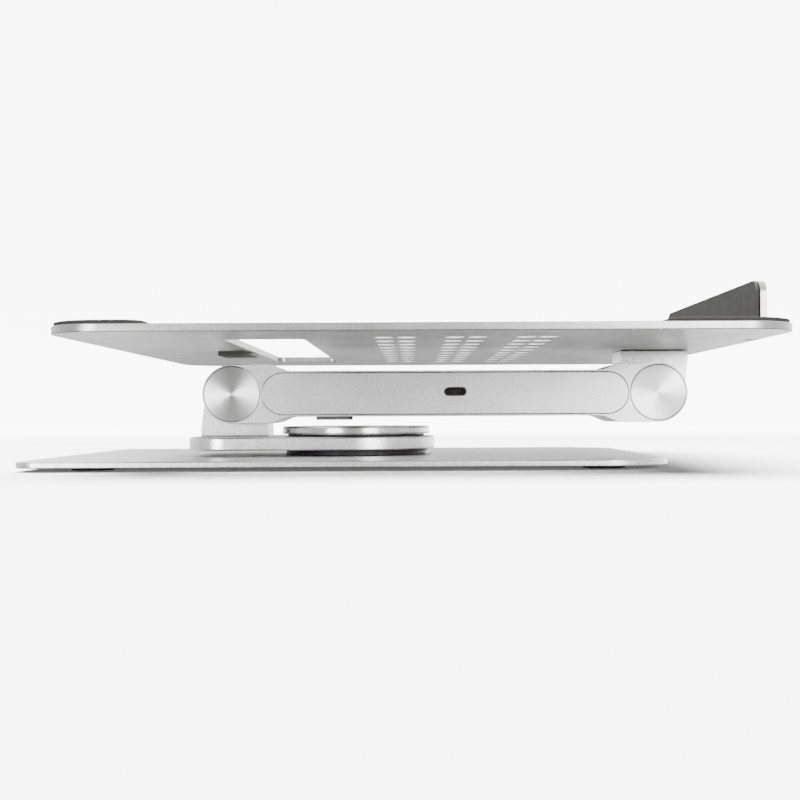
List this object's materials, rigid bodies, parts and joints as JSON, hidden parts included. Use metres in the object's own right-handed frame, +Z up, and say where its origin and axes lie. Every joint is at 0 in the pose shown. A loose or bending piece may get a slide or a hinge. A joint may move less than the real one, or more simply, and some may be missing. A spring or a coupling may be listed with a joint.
{
  "type": "laptop stand",
  "caption": "Low folding laptop stand: vented tray with a front lip on one hinged arm, on a swivelling round hub over a flat base plate, with a socket in the arm.",
  "frame": {"origin": "on the swivel axis, at the flat underside of the centre pad that the stand rests on", "axes": "+X towards the tray's front lip, +Y away from the arm's socket side, +Z up"},
  "size_m": [0.274, 0.26, 0.0691],
  "materials": {
    "anodised_aluminium": "bead-blasted and anodised, silver",
    "spun_aluminium": "turned faces, silver",
    "steel": "plain zinc-plated steel",
    "grey_silicone": "matte, dark grey",
    "black_plastic": "matte, black",
    "circuit_board": "green solder mask",
    "friction_fibre": "brown friction washer"
  },
  "bodies": {
    "base": {"base_plate": "anodised_aluminium", "foot_rear_near": "grey_silicone", "foot_rear_far": "grey_silicone", "foot_front_near": "grey_silicone", "foot_front_far": "grey_silicone", "centre_pad": "grey_silicone", "hub_post": "steel", "hub_screw_1": "steel", "hub_screw_2": "steel", "hub_screw_3": "steel", "lower_bearing_ring": "black_plastic", "upper_bearing_ring": "black_plastic", "cap_disc": "spun_aluminium"},
    "turntable": {"swivel_plate": "anodised_aluminium", "lower_bracket": "anodised_aluminium", "lower_bracket_screw_1": "steel", "lower_bracket_screw_2": "steel", "lower_bracket_screw_3": "steel", "lower_bracket_screw_4": "steel", "lower_pin": "steel", "lower_spring_near": "steel", "lower_spring_far": "steel", "lower_nut_near": "steel", "lower_nut_far": "steel"},
    "arm": {"arm_frame": "anodised_aluminium", "near_cover": "anodised_aluminium", "far_cover": "anodised_aluminium", "lower_cap_near": "spun_aluminium", "lower_cap_far": "spun_aluminium", "upper_cap_near": "spun_aluminium", "upper_cap_far": "spun_aluminium", "lower_friction_washer_near": "friction_fibre", "lower_friction_washer_far": "friction_fibre", "upper_friction_washer_near": "friction_fibre", "upper_friction_washer_far": "friction_fibre", "port_shell": "steel", "port_tongue": "black_plastic", "hub_board": "circuit_board", "board_standoff_1": "steel", "board_standoff_2": "steel", "board_screw_1": "steel", "board_screw_2": "steel", "controller_chip": "black_plastic", "arm_bumper": "grey_silicone"},
    "tray": {"tray_plate": "anodised_aluminium", "upper_bracket": "anodised_aluminium", "upper_bracket_screw_1": "steel", "upper_bracket_screw_2": "steel", "upper_bracket_screw_3": "steel", "upper_bracket_screw_4": "steel", "upper_pin": "steel", "upper_spring_near": "steel", "upper_spring_far": "steel", "upper_nut_near": "steel", "upper_nut_far": "steel", "front_pad": "grey_silicone", "rear_pad": "grey_silicone", "lip_facing": "grey_silicone", "tray_bumper": "grey_silicone"}
  },
  "joints": [
    {"name": "swivel", "type": "hinge", "parent": "base", "child": "turntable", "pos_m": [0, 0, 0], "axis": [0, 0, 1], "continuous": true},
    {"name": "arm_lift", "type": "hinge", "parent": "turntable", "child": "arm", "pos_m": [-0.0505, 0, 0.029], "axis": [0, -1, 0], "range_deg": [-2.5, 47]},
    {"name": "tray_tilt", "type": "hinge", "parent": "arm", "child": "tray", "pos_m": [0.1257, 0, 0.029], "axis": [0, 1, 0], "range_deg": [-1, 75]}
  ]
}
